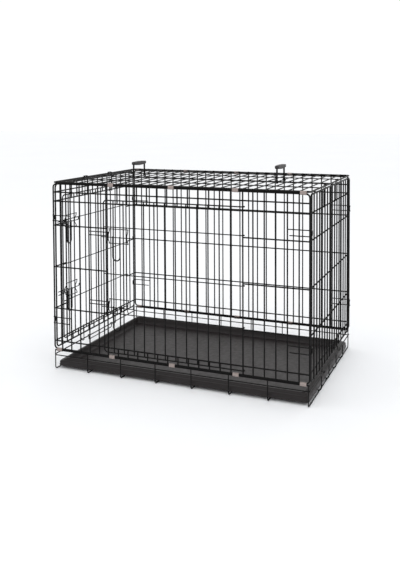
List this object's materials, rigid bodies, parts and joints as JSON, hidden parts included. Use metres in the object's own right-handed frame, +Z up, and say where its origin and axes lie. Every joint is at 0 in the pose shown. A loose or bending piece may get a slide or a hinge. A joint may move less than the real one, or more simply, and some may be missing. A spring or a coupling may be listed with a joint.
{
  "type": "wire dog crate",
  "caption": "Folding black wire dog crate with a side door and an end door, slide bolts, a slide-out floor tray and carry handles on top.",
  "frame": {"origin": "on the floor, under the middle of the box that holds the whole crate", "axes": "+X along the crate's length, away from the end with the door; -Y towards the side with the door; +Z up"},
  "size_m": [1.0916, 0.7318, 0.833],
  "materials": {
    "wire": "satin black coating over steel wire",
    "tray_plastic": "matt, slightly grained",
    "grip_plastic": "satin",
    "clip_steel": "bright zinc"
  },
  "bodies": {
    "crate": {"base_floor_grid": "wire", "base_front_side": "wire", "base_back_side": "wire", "base_left_end": "wire", "base_right_end": "wire", "front_panel_left": "wire", "front_panel_right": "wire", "front_panel_header": "wire", "front_panel_sill": "wire", "left_end_panel_front": "wire", "left_end_panel_back": "wire", "left_end_panel_header": "wire", "left_end_panel_sill": "wire", "back_panel": "wire", "top_panel": "wire", "right_end_panel": "wire", "side_door_keeper_upper": "wire", "side_door_keeper_lower": "wire", "end_door_keeper_upper": "wire", "end_door_keeper_lower": "wire", "clip_top_front_1": "clip_steel", "clip_top_front_2": "clip_steel", "clip_top_front_3": "clip_steel", "clip_top_front_4": "clip_steel", "clip_top_back_1": "clip_steel", "clip_top_back_2": "clip_steel", "clip_top_back_3": "clip_steel", "clip_top_back_4": "clip_steel", "clip_bottom_front_1": "clip_steel", "clip_bottom_front_2": "clip_steel", "clip_bottom_front_3": "clip_steel", "clip_bottom_front_4": "clip_steel", "clip_bottom_front_5": "clip_steel", "clip_bottom_back_1": "clip_steel", "clip_bottom_back_2": "clip_steel", "clip_bottom_back_3": "clip_steel", "clip_bottom_back_4": "clip_steel"},
    "side_door_leaf": {"side_door": "wire", "side_door_guide_upper": "wire", "side_door_guide_lower": "wire"},
    "side_door_upper_bolt": {"side_door_bolt_upper": "wire"},
    "side_door_upper_bolt_handle": {"side_door_bolt_handle_upper": "wire"},
    "side_door_lower_bolt": {"side_door_bolt_lower": "wire"},
    "side_door_lower_bolt_handle": {"side_door_bolt_handle_lower": "wire"},
    "end_door_leaf": {"end_door": "wire", "end_door_guide_upper": "wire", "end_door_guide_lower": "wire"},
    "end_door_upper_bolt": {"end_door_bolt_upper": "wire"},
    "end_door_upper_bolt_handle": {"end_door_bolt_handle_upper": "wire"},
    "end_door_lower_bolt": {"end_door_bolt_lower": "wire"},
    "end_door_lower_bolt_handle": {"end_door_bolt_handle_lower": "wire"},
    "tray": {"tray": "tray_plastic"},
    "tray_stop": {"tray_stop": "wire"},
    "carry_handle_left": {"carry_handle_bail_left": "wire", "carry_handle_grip_left": "grip_plastic"},
    "carry_handle_right": {"carry_handle_bail_right": "wire", "carry_handle_grip_right": "grip_plastic"}
  },
  "joints": [
    {"name": "side_door_swing", "type": "hinge", "parent": "crate", "child": "side_door_leaf", "pos_m": [0.28905, -0.34405, 0.402], "axis": [0, 0, 1], "range_deg": [0, 150]},
    {"name": "side_door_upper_bolt_slide", "type": "slide", "parent": "side_door_leaf", "child": "side_door_upper_bolt", "axis": [1, 0, 0], "range_m": [0, 0.028]},
    {"name": "side_door_upper_bolt_handle_turn", "type": "hinge", "parent": "side_door_upper_bolt", "child": "side_door_upper_bolt_handle", "pos_m": [-0.22545, -0.36045, 0.56], "axis": [-1, 0, 0], "range_deg": [0, 100]},
    {"name": "side_door_lower_bolt_slide", "type": "slide", "parent": "side_door_leaf", "child": "side_door_lower_bolt", "axis": [1, 0, 0], "range_m": [0, 0.028]},
    {"name": "side_door_lower_bolt_handle_turn", "type": "hinge", "parent": "side_door_lower_bolt", "child": "side_door_lower_bolt_handle", "pos_m": [-0.22545, -0.36045, 0.284], "axis": [-1, 0, 0], "range_deg": [0, 100]},
    {"name": "end_door_swing", "type": "hinge", "parent": "crate", "child": "end_door_leaf", "pos_m": [-0.52395, 0.26995, 0.402], "axis": [0, 0, -1], "range_deg": [0, 150]},
    {"name": "end_door_upper_bolt_slide", "type": "slide", "parent": "end_door_leaf", "child": "end_door_upper_bolt", "axis": [0, 1, 0], "range_m": [0, 0.028]},
    {"name": "end_door_upper_bolt_handle_turn", "type": "hinge", "parent": "end_door_upper_bolt", "child": "end_door_upper_bolt_handle", "pos_m": [-0.54035, -0.20455, 0.583], "axis": [0, 1, 0], "range_deg": [0, 100]},
    {"name": "end_door_lower_bolt_slide", "type": "slide", "parent": "end_door_leaf", "child": "end_door_lower_bolt", "axis": [0, 1, 0], "range_m": [0, 0.028]},
    {"name": "end_door_lower_bolt_handle_turn", "type": "hinge", "parent": "end_door_lower_bolt", "child": "end_door_lower_bolt_handle", "pos_m": [-0.54035, -0.20455, 0.294], "axis": [0, 1, 0], "range_deg": [0, 100]},
    {"name": "tray_slide", "type": "slide", "parent": "crate", "child": "tray", "axis": [1, 0, 0], "range_m": [-1, 0]},
    {"name": "tray_stop_swing", "type": "hinge", "parent": "crate", "child": "tray_stop", "pos_m": [-0.52395, 0.01795, 0.06], "axis": [0, 1, 0], "range_deg": [0, 160]},
    {"name": "carry_handle_left_turn", "type": "hinge", "parent": "crate", "child": "carry_handle_left", "pos_m": [-0.31447, 0.00795, 0.7664], "axis": [0, 1, 0], "range_deg": [-80, 80]},
    {"name": "carry_handle_right_turn", "type": "hinge", "parent": "crate", "child": "carry_handle_right", "pos_m": [0.32858, 0.00795, 0.7664], "axis": [0, 1, 0], "range_deg": [-80, 80]}
  ]
}
